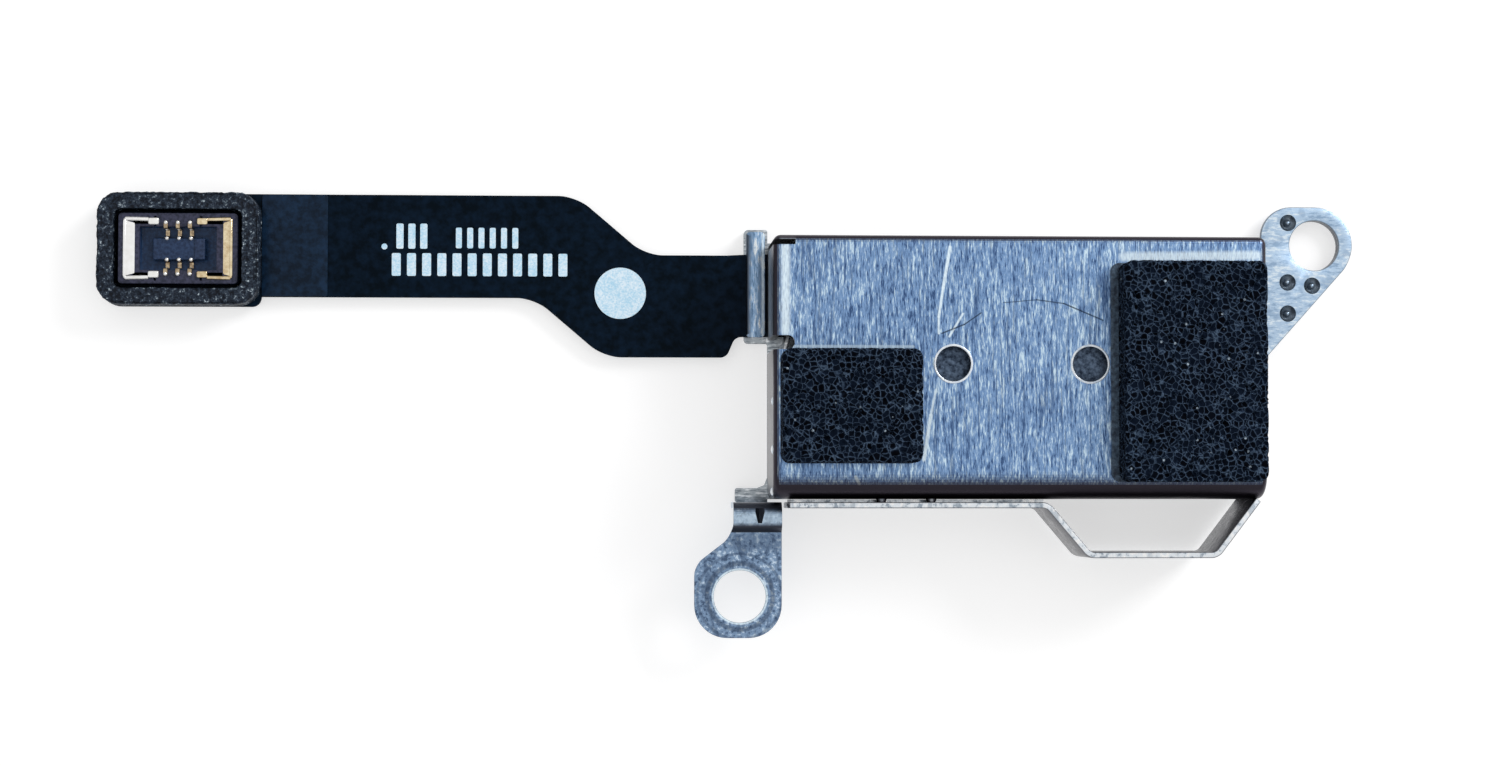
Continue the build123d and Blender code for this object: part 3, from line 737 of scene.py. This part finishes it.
def foldedStrip(path, bends, sheet, width):
    # path is the middle line of a folded sheet; it gets its thickness and is then drawn out by width
    sides = ([], [])
    for i, here in enumerate(path):
        here = Vector(here)
        before = (here - Vector(path[i - 1])).normalized() if i else None
        after = (Vector(path[i + 1]) - here).normalized() if i < len(path) - 1 else None
        lead = before or after
        follow = after or before
        normal = Vector((-lead.y - follow.y, lead.x + follow.x)).normalized()
        mitre = sheet / 2 / normal.dot(Vector((-lead.y, lead.x)))
        turn = lead.x * follow.y - lead.y * follow.x
        radius = bends[i - 1] if before and after else 0
        for side, points in zip((1, -1), sides):
            around = radius - side * math.copysign(sheet / 2, turn) if radius else 0
            points.append((*(here + normal * mitre * side), max(0, around)))
    bm = bmesh.new()
    outlineLoop(bm, sides[1] + sides[0][::-1], 0)
    drawn = bmesh.ops.extrude_face_region(bm, geom=bm.faces[:])["geom"]
    bmesh.ops.translate(bm, vec=(0, 0, width), verts=[g for g in drawn if isinstance(g, bmesh.types.BMVert)])
    bmesh.ops.recalc_face_normals(bm, faces=bm.faces[:])
    return bm


def buildEarBracket():
    b = bracket
    x0, x1, y0, y1, z0, z1 = span("ear_bracket")
    t = b["sheet"]
    earZ = lowHole["pos_m"][2] / milli - t / 2
    outer = y1 - t
    step = outer - b["rootLength"]
    path = [
        (y1 - t / 2, z0), (y1 - t / 2, z1 - t / 2), (step, z1 - t / 2), (step - b["stepRun"], earZ + t / 2),
        (y0 - 0.5, earZ + t / 2),
    ]
    strip = foldedStrip(path, [b["bend"], b["joggle"], b["joggle"]], t, x1 - x0 + 0.4)
    turn = Matrix(((0, 0, 1), (1, 0, 0), (0, 1, 0))).to_4x4()
    bmesh.ops.transform(strip, matrix=Matrix.Translation((x0 - 0.2, 0, 0)) @ turn, verts=strip.verts[:])
    neckLeft = canLeft - b["neckLeft"]
    neckY = canLow - b["neckLength"]
    plan = [
        (x1, 0, 0), (neckLeft, 0, 0), (neckLeft, neckY, 0.9), (x0, neckY - b["flare"], 0.72), (x0, y0, 1.1), (x1, y0, 1.1),
    ]
    centre = [value / milli for value in lowHole["pos_m"]]
    mould = plate(plan, [(centre[0], centre[1], lowHole["dims"]["r_mm"])], -1, 4, 0)
    bm = combine(strip, mould, "INTERSECT")
    gussetX, gussetSize, gussetEnd = b["gusset"]
    wedge = bmesh.new()
    bmesh.ops.create_cone(
        wedge, cap_ends=True, segments=4, radius1=gussetSize, radius2=gussetSize * 0.35, depth=gussetEnd,
        matrix=Matrix.Translation((x1 - gussetX, outer - gussetEnd / 2, z1)) @ Matrix.Rotation(math.pi / 2, 4, "X"),
    )
    bm = combine(bm, wedge)
    softenEdges(bm, b["edge"], 2, 60)
    return finishPiece(bm, "earBracket", finishes["bracket"], "housing", ["ear_bracket"], 35)


def buildHoop():
    x0, x1, y0, y1, z0, z1 = span("side_hoop")
    t = bracket["sheet"]
    bandY = canLow - 0.1 - t / 2
    hoopY = y0 + t / 2
    end = canRight - 0.4
    start = end - 6.9
    reach = (bandY - canLow) / (bandY - hoopY) * 1.25
    path = [(x0, bandY), (start, bandY), (start + 1.4, hoopY), (end - 1.25, hoopY), (end - reach, canLow - 0.02)]
    bm = foldedStrip(path, [0.35, 0.35, 0.35], t, z1 - z0)
    bmesh.ops.translate(bm, vec=(0, 0, z0), verts=bm.verts[:])
    softenEdges(bm, 0.03, 2, 60)
    seam = bmesh.new()  # closes the narrow gap between the strip and the wall
    addBlock(seam, x0 + 0.1, start, canLow - 0.15, canLow - 0.01, z0 + 0.3, z1 - 0.9)
    bmesh.ops.recalc_face_normals(seam, faces=seam.faces[:])
    joinInto(bm, seam)
    for step in (0, 1):
        weld = bmesh.new()
        bmesh.ops.create_cone(
            weld, cap_ends=True, segments=24, radius1=0.18, radius2=0.14, depth=0.12,
            matrix=Matrix.Translation((canLeft + 3.6 + step * 1.65, canLow - 0.05, z1 - 0.2)) @ Matrix.Rotation(math.pi / 2, 4, "X"),
        )
        joinInto(bm, weld)
    return finishPiece(bm, "sideHoop", finishes["hoop"], "housing", ["side_hoop"], 35)


buildEarBracket()
buildHoop()
print("bracket and hoop built")


# ---- clamp over the tail

def buildClamp():
    x0, x1, y0, y1, z0, z1 = span("flex_clamp")
    bm = roundedBlock(x0, x1, y0, y1, flexTop, z1, 0.14, 0, 6)
    rolled = [e for e in bm.edges if atHeight(z1)(e) and all(v.co.x < x0 + 0.01 for v in e.verts)]
    bmesh.ops.bevel(bm, geom=rolled, offset=0.15, segments=6, profile=0.5, affect="EDGES", material=-1)
    softenEdges(bm, 0.03, 2, 60)
    foot = roundedBlock(x0 + 0.14, x1 - 0.14, y1 - 0.64, y1 - 0.14, z0, flexTop + 0.02, 0.05, 0, 3)
    joinInto(bm, foot)
    return finishPiece(bm, "flexClamp", finishes["clamp"], "housing", ["flex_clamp"], 35)


buildClamp()


# ---- foam pads and their tape

foam = {"cell": 0.05, "pore": 0.2, "depth": 0.13, "corner": 0.32, "edge": 0.07}


def keepInside(bm, x0, x1, y0, y1, z0, z1):
    for v in bm.verts:
        v.co = (min(max(v.co.x, x0), x1), min(max(v.co.y, y0), y1), min(max(v.co.z, z0), z1))


def foamRelief(bm, name, x0, x1, y0, y1, z0, z1, seed):
    depthLayer = bm.verts.layers.float.new("poreDepth")
    shift = Vector((seed * 7.3, seed * 3.1, seed * 1.7))
    bm.normal_update()
    moves = []
    for v in bm.verts:
        near, cells = noise.voronoi((v.co + shift) / foam["pore"])
        wall = near[1] - near[0]
        size = 0.55 + 0.45 * noise.cell(cells[0] * 3.7)
        pore = min(1.0, max(0.0, (wall - 0.1) / 0.42)) * size
        v[depthLayer] = pore
        lumps = noise.noise((v.co + shift) * 2.2) * 0.02
        moves.append((v, v.normal * (lumps - pore * foam["depth"])))
    for v, move in moves:
        if v.co.z > z0 + 0.02:
            v.co += move
    keepInside(bm, x0, x1, y0, y1, z0, z1)


def buildFoam(name, node, seed):
    x0, x1, y0, y1, z0, z1 = span(node)
    bm = roundedBlock(x0, x1, y0, y1, z0, z1, foam["corner"], foam["edge"], 6, topOnly=True)
    cell = foam["cell"]
    crossCuts(bm, 0, x0, x1, cell)
    crossCuts(bm, 1, y0, y1, cell)
    crossCuts(bm, 2, z0, z1, cell * 1.6)
    foamRelief(bm, name, x0, x1, y0, y1, z0, z1, seed)
    piece = finishPiece(bm, name, finishes["foam"], "housing", [node], 180)
    return piece


def buildTape(name, node, seed):
    x0, x1, y0, y1, z0, z1 = span(node)
    bm = roundedBlock(x0, x1, y0, y1, z0, z1, 0.3, 0.02, 6)
    crossCuts(bm, 0, x0, x1, 0.12)
    crossCuts(bm, 1, y0, y1, 0.12)
    for v in bm.verts:
        if v.co.z > z0 + 0.01:
            ragged = noise.noise(Vector((v.co.x * 3, v.co.y * 3, seed))) * 0.03
            v.co.z += min(0, ragged)
    return finishPiece(bm, name, finishes["tape"], "housing", [node], 30)


buildFoam("foamPadLeft", "foam_pad_left", 1)
buildFoam("foamPadRight", "foam_pad_right", 2)
buildTape("tapeLeft", "tape_left", 1)
buildTape("tapeRight", "tape_right", 2)
print("foam pads built")


# ---- flexible circuit

tail = {
    "nearLength": 2.75, "diagonalLength": 2.35, "width": 3.47, "step": 2.0, "corner": 1.6, "neckLength": 0.35,
    "neckRadius": 0.3, "padRadius": 0.75, "bendStart": 0.28, "bendEnd": -0.42, "skewShare": 0.45,
}
hingeX = frame["joints"][1]["pos_m"][0] / milli
rootSpan = span("flex_root")
tailSpan = span("flex_tail")
padSpan = span("connector_gasket")


def buildTail():
    t = tail
    clampSpan = span("flex_clamp")
    neckHigh = canHigh - 0.38
    neckLow = neckHigh - 2.82
    nearHigh = canHigh - 0.43
    nearLow = nearHigh - t["width"]
    farHigh, farLow = nearHigh + t["step"], nearLow + t["step"]
    under = middle(clampSpan[0], clampSpan[1])
    neckEnd = hingeX - t["neckLength"]
    nearEnd = neckEnd - t["nearLength"]
    farEnd = nearEnd - t["diagonalLength"]
    skew = (t["width"] + t["step"] - t["diagonalLength"]) * t["skewShare"]
    padX0, padX1, padY0, padY1 = padSpan[:4]
    r = t["corner"]
    corners = [
        (under, neckLow, 0), (under, neckHigh, 0), (neckEnd, nearHigh, 0.4), (nearEnd, nearHigh, r),
        (farEnd, farHigh, r), (padX1 - 0.3, farHigh, 0), (padX0, farHigh, t["padRadius"]),
        (padX0, padY0, t["padRadius"]), (padX1 - 0.06, padY0, 0.3), (padX1, farLow, 0.02),
        (farEnd - skew, farLow, r), (nearEnd - skew, nearLow, r), (neckEnd, nearLow, t["neckRadius"]),
        (neckEnd + t["neckRadius"], neckLow, t["neckRadius"]),
    ]
    bm = plate(corners, [], tailSpan[4], tailSpan[5], 0)
    bmesh.ops.dissolve_limit(bm, angle_limit=0.01, verts=bm.verts[:], edges=bm.edges[:])
    crossCuts(bm, 0, hingeX - 0.6, under, 0.05)
    crossCuts(bm, 0, padX1, hingeX - 0.6, 0.25)
    crossCuts(bm, 1, nearLow, farHigh, 0.25)
    for v in bm.verts:
        free = min(1.0, max(0.0, (hingeX - 1.0 - v.co.x) / 3.0)) * min(1.0, max(0.0, (v.co.x - padX1) / 3.0))
        v.co.z += free * 0.035 * noise.noise(Vector((v.co.x * 0.5, v.co.y * 0.35, 4.2)))
    piece = finishPiece(bm, "flexTail", finishes["flex"], "housing", ["flex_tail"], 40, ride=False)
    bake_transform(piece)
    return piece


def buildRoot():
    clampSpan = span("flex_clamp")
    under = middle(clampSpan[0], clampSpan[1])
    neckHigh = canHigh - 0.38
    x0, x1, y0, y1, z0, z1 = rootSpan
    corners = [
        (under, neckHigh - 2.82, 0), (under, neckHigh, 0), (x1, neckHigh, 0.3) if neckHigh > y1 else (x1, y1, 0.3),
        (x1, y0, 0.3), (-x1, y0, 0.3), (-x1, neckHigh - 2.82, 0.2),
    ]
    bm = plate(corners, [], z0, z1, 0.01)
    return finishPiece(bm, "flexRoot", finishes["flex"], "housing", ["flex_root"], 40)


buildTail()
buildRoot()


marks = {"thick": 0.012, "lift": 0.03, "discRadius": 0.87, "disc": (-13.2, 2.62)}
markRows = [  # left end, right end, lower edge, upper edge, bar, gap
    (-20.75, -19.4, 4.1, 4.95, 0.24, 0.16),
    (-18.75, -16.4, 4.12, 4.82, 0.2, 0.18),
    (-20.9, -14.5, 3.18, 3.95, 0.3, 0.21),
]


def buildMarks():
    # plain bars and a plain disc where a maker would print its own text
    z0 = flexTop - 0.01
    z1 = flexTop + marks["lift"]
    bm = bmesh.new()
    for left, right, low, high, bar, gap in markRows:
        x = left
        while x + bar <= right + 1e-6:
            joinInto(bm, roundedBlock(x, x + bar, low, high, z0, z1, 0.05, 0, 4))
            x += bar + gap
    joinInto(bm, cylinderTool(-21.15, 4.17, 0.1, z0, z1, 24))
    joinInto(bm, cylinderTool(*marks["disc"], marks["discRadius"], z0, z1, 72))
    return finishPiece(bm, "tailMarks", finishes["ink"], "flex_tail_end", [], 40)


buildMarks()


def buildShield():
    x0, x1, y0, y1, z0, z1 = span("shield_film")
    bm = roundedBlock(x0, x1, y0 + 0.02, y1 - 0.02, z0 - 0.01, z1 + 0.01, 0.08, 0.008, 4)
    return finishPiece(bm, "shieldFilm", finishes["shield"], "flex_tail_end", ["shield_film"], 40)


def buildStiffener():
    x0, x1, y0, y1, z0, z1 = span("tail_stiffener")
    bm = roundedBlock(x0, x1, y0, y1, z0, z1, 0.68, 0.02, 10)
    return finishPiece(bm, "tailStiffener", finishes["board"], "flex_tail_end", ["tail_stiffener"], 40)


buildShield()
buildStiffener()
print("tail built")


# ---- board connector

connector = {"ring": 0.59, "ringCorner": 0.75, "ringCell": 0.07, "edge": 0.03, "wall": 0.45, "endWall": 0.7, "floor": 0.2}


def buildGasket():
    x0, x1, y0, y1, z0, z1 = padSpan
    w = connector["ring"]
    bm = roundedBlock(x0, x1, y0, y1, z0, z1, connector["ringCorner"], 0.07, 8, topOnly=True)
    hollow = roundedBlock(x0 + w, x1 - w, y0 + w, y1 - w, z0 - 1, z1 + 1, connector["ringCorner"] - w + 0.1, 0, 6)
    bm = combine(bm, hollow)
    crossCuts(bm, 0, x0, x1, connector["ringCell"])
    crossCuts(bm, 1, y0, y1, connector["ringCell"])
    crossCuts(bm, 2, z0, z1, connector["ringCell"] * 1.3)
    bm.normal_update()
    for v, normal in [(v, v.normal.copy()) for v in bm.verts]:
        if v.co.z > z0 + 0.02:
            lump = noise.noise(v.co * 5.0) * 0.03 + noise.noise(v.co * 13.0) * 0.022
            v.co += normal * (lump - 0.03)
    keepInside(bm, *padSpan)
    piece = finishPiece(bm, "connectorGasket", finishes["gasket"], "flex_tail_end", ["connector_gasket"], 180)
    return piece


def buildSocket():
    c = connector
    x0, x1, y0, y1, z0, z1 = span("connector_socket")
    midX, midY = middle(x0, x1), middle(y0, y1)
    bm = roundedBlock(x0, x1, y0, y1, z0, z1, 0.12, 0, 5)
    well = bmesh.new()
    addBlock(well, x0 + c["endWall"], x1 - c["endWall"], y0 + c["wall"], y1 - c["wall"], z0 + c["floor"], z1 + 1)
    bm = combine(bm, well)
    for side in (-1, 1):
        # low end walls under the metal clips, and the notch between clip and contacts
        low, high = sorted((midX + side * 0.72, midX + side * 0.8))
        for row in (-1, 1):
            notchLow, notchHigh = sorted((midY + row * (y1 - midY - c["wall"] - 0.1), midY + row * (y1 - midY - 0.1)))
            notch = bmesh.new()
            addBlock(notch, low, high, notchLow, notchHigh, z1 - 0.3, z1 + 0.1)
            bm = combine(bm, notch)
    softenEdges(bm, 0.02, 2, 60)
    joinInto(bm, roundedBlock(midX - 0.87, midX + 0.87, midY - 0.36, midY + 0.36, z0 + 0.05, z0 + 0.42, 0.06, 0.03, 4))
    joinInto(bm, roundedBlock(midX + 0.52, midX + 0.86, midY - 0.34, midY + 0.34, z0 + 0.3, z0 + 0.46, 0.03, 0.02, 4))
    return finishPiece(bm, "connectorSocket", finishes["socket"], "flex_tail_end", ["connector_socket"], 40)


def buildContacts():
    # each contact is one bent strip: crest on the rim, down the wall, across the floor and up at the island
    x0, x1, y0, y1, z0, z1 = span("connector_socket")
    midX, midY = middle(x0, x1), middle(y0, y1)
    sheet = 0.07
    wall = y1 - midY - connector["wall"]
    crest = z1 + 0.03
    floor = z0 + connector["floor"] + sheet / 2
    path = [
        (wall + 0.2, z1 - 0.06), (wall + 0.13, crest), (wall - 0.05, crest), (wall - 0.05, floor),
        (0.4, floor), (0.4, z0 + 0.44), (0.34, z0 + 0.47),
    ]
    bends = [0.04, 0.07, 0.06, 0.06, 0.04]
    bm = bmesh.new()
    tips = bmesh.new()
    for row in (-1, 1):
        for index in range(3):
            # near-white beads on each contact's crest, wall and tip: painted glints
            for y, z in ((wall + 0.13, crest + 0.01), (wall - 0.05, z1 - 0.2), (0.36, z0 + 0.46)):
                spot = (midX + (index - 1) * 0.4, midY + row * y, z)
                bmesh.ops.create_icosphere(tips, subdivisions=3, radius=0.068, matrix=Matrix.Translation(spot))
            strip = foldedStrip(path, bends, sheet, 0.13)
            softenEdges(strip, 0.012, 2, 60)
            place = Matrix(((0, 0, 1), (row, 0, 0), (0, 1, 0))).to_4x4()
            shift = Matrix.Translation((midX + (index - 1) * 0.4 - 0.065, midY, 0))
            bmesh.ops.transform(strip, matrix=shift @ place, verts=strip.verts[:])
            bmesh.ops.recalc_face_normals(strip, faces=strip.faces[:])
            joinInto(bm, strip)
    finishPiece(tips, "contactGlints", finishes["clip"], "flex_tail_end", [], 40)
    return finishPiece(bm, "signalContacts", finishes["contact"], "flex_tail_end", ["signal_contacts"], 40)


clip = {"band": 0.4, "bandTaper": 0.22, "arm": 0.2, "armBack": 0.32, "roll": 0.07, "tip": 0.34}


def tube(start, end, radius, segments=14):
    # a short rounded rod along a line
    start, end = Vector(start), Vector(end)
    bm = bmesh.new()
    bmesh.ops.create_cone(
        bm, cap_ends=True, segments=segments, radius1=radius, radius2=radius, depth=(end - start).length,
        matrix=Matrix.Translation((start + end) / 2) @ (end - start).to_track_quat("Z", "X").to_matrix().to_4x4(),
    )
    softenEdges(bm, radius * 0.4, 2, 60)
    return bm


def buildEndClip(name, node, side):
    # drawn as the left one, with the flat band, two rolled arms and a tip on each
    x0, x1, y0, y1, z0, z1 = span(node)
    c = clip
    outer, inner = (x0, x1) if side < 0 else (x1, x0)
    way = 1 if side < 0 else -1
    low, high = y0 + 0.02, y1 - 0.02
    bandIn = outer + way * c["band"]
    bm = bmesh.new()
    corners = [
        (outer + way * 0.02, low + 0.12, 0.03), (bandIn, low + c["bandTaper"], 0.05), (bandIn, high - c["bandTaper"], 0.05),
        (outer + way * 0.02, high - 0.12, 0.03),
    ]
    slab = plate(corners if side < 0 else corners[::-1], [], z0 - 0.02, z1 - 0.02, 0.015)
    lean = [v for v in slab.verts if abs(v.co.x - outer) > c["band"] * 0.5]
    bmesh.ops.translate(slab, vec=(0, 0, -0.05 if side > 0 else -0.015), verts=lean)
    joinInto(bm, slab)
    roll = c["roll"]
    for y, turn in ((low + roll, 1), (high - roll, -1)):
        armEnd = outer + way * (abs(x1 - x0) - c["tip"])
        joinInto(bm, tube((outer + way * roll, y, z1 - roll), (armEnd, y + turn * 0.02, z1 - roll), roll))
        sheetLow, sheetHigh = sorted((y, y + turn * c["arm"]))
        xs = sorted((outer + way * c["armBack"], armEnd))
        joinInto(bm, roundedBlock(xs[0], xs[1], sheetLow, sheetHigh, z0 - 0.08, z1 - 0.06, 0.03, 0.02, 4))
        tips = sorted((armEnd - way * 0.02, inner))
        joinInto(bm, roundedBlock(tips[0], tips[1], sheetLow, sheetHigh + 0.03, z0 - 0.1, z1 + 0.01, 0.06, 0.045, 4))
    joinInto(bm, tube((outer + way * roll, low + roll, z1 - roll), (outer + way * roll, high - roll, z1 - roll), roll * 0.8))
    return finishPiece(bm, name, finishes["clip" if side < 0 else "gold"], "flex_tail_end", [node], 40)


buildGasket()
buildSocket()
buildContacts()
buildEndClip("endClipLeft", "end_clip_left", -1)
buildEndClip("endClipRight", "end_clip_right", 1)
print("connector built")


# ---- drive inside the housing

springs = {"sheet": 0.15, "tab": 1.2, "fold": 0.3}


def buildSpring(name, node, way):
    # a folded leaf: one tab on the wall, one on the mass, so it stretches as the mass slides
    x0, x1, y0, y1, z0, z1 = span(node)
    t, fold = springs["sheet"], springs["fold"]
    wallX, massX = (x1 - t / 2, x0 + t / 2) if way > 0 else (x0 + t / 2, x1 - t / 2)
    tabY, apexY = (y1, y0) if way > 0 else (y0, y1)
    legY = tabY - way * springs["tab"]
    half = math.atan2(abs(wallX - massX) / 2, abs(legY - apexY))
    pointY = apexY + way * (t / 2 - fold * (1 / math.sin(half) - 1))
    path = [(massX, tabY), (massX, legY), (middle(wallX, massX), pointY), (wallX, legY), (wallX, tabY)]
    bm = foldedStrip(path, [fold, fold, fold], t, z1 - z0)
    bmesh.ops.translate(bm, vec=(0, 0, z0), verts=bm.verts[:])
    crossCuts(bm, 0, x0, x1, 0.1)
    softenEdges(bm, 0.02, 2, 60)
    piece = finishPiece(bm, name, finishes["spring"], "housing", [node], 40, ride=False)
    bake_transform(piece)
    return piece


buildSpring("springLeft", "spring_left", -1)
buildSpring("springRight", "spring_right", 1)

insideFinishes = {
    "mass_block": "tungsten", "yoke_plate": "yoke", "magnet_left": "nickel", "magnet_centre": "nickel",
    "magnet_right": "nickel", "mass_clip_left": "spring", "mass_clip_right": "spring", "wall_clip_left": "spring",
    "wall_clip_right": "spring", "end_stop_left": "rubber", "end_stop_right": "rubber", "coil_left": "copper",
    "coil_right": "copper", "coil_solder": "solder",
}
for node, finish in insideFinishes.items():
    part = frame["nodes"][node]
    part.data.materials.clear()
    part.data.materials.append(finishes[finish])
print("drive finished")
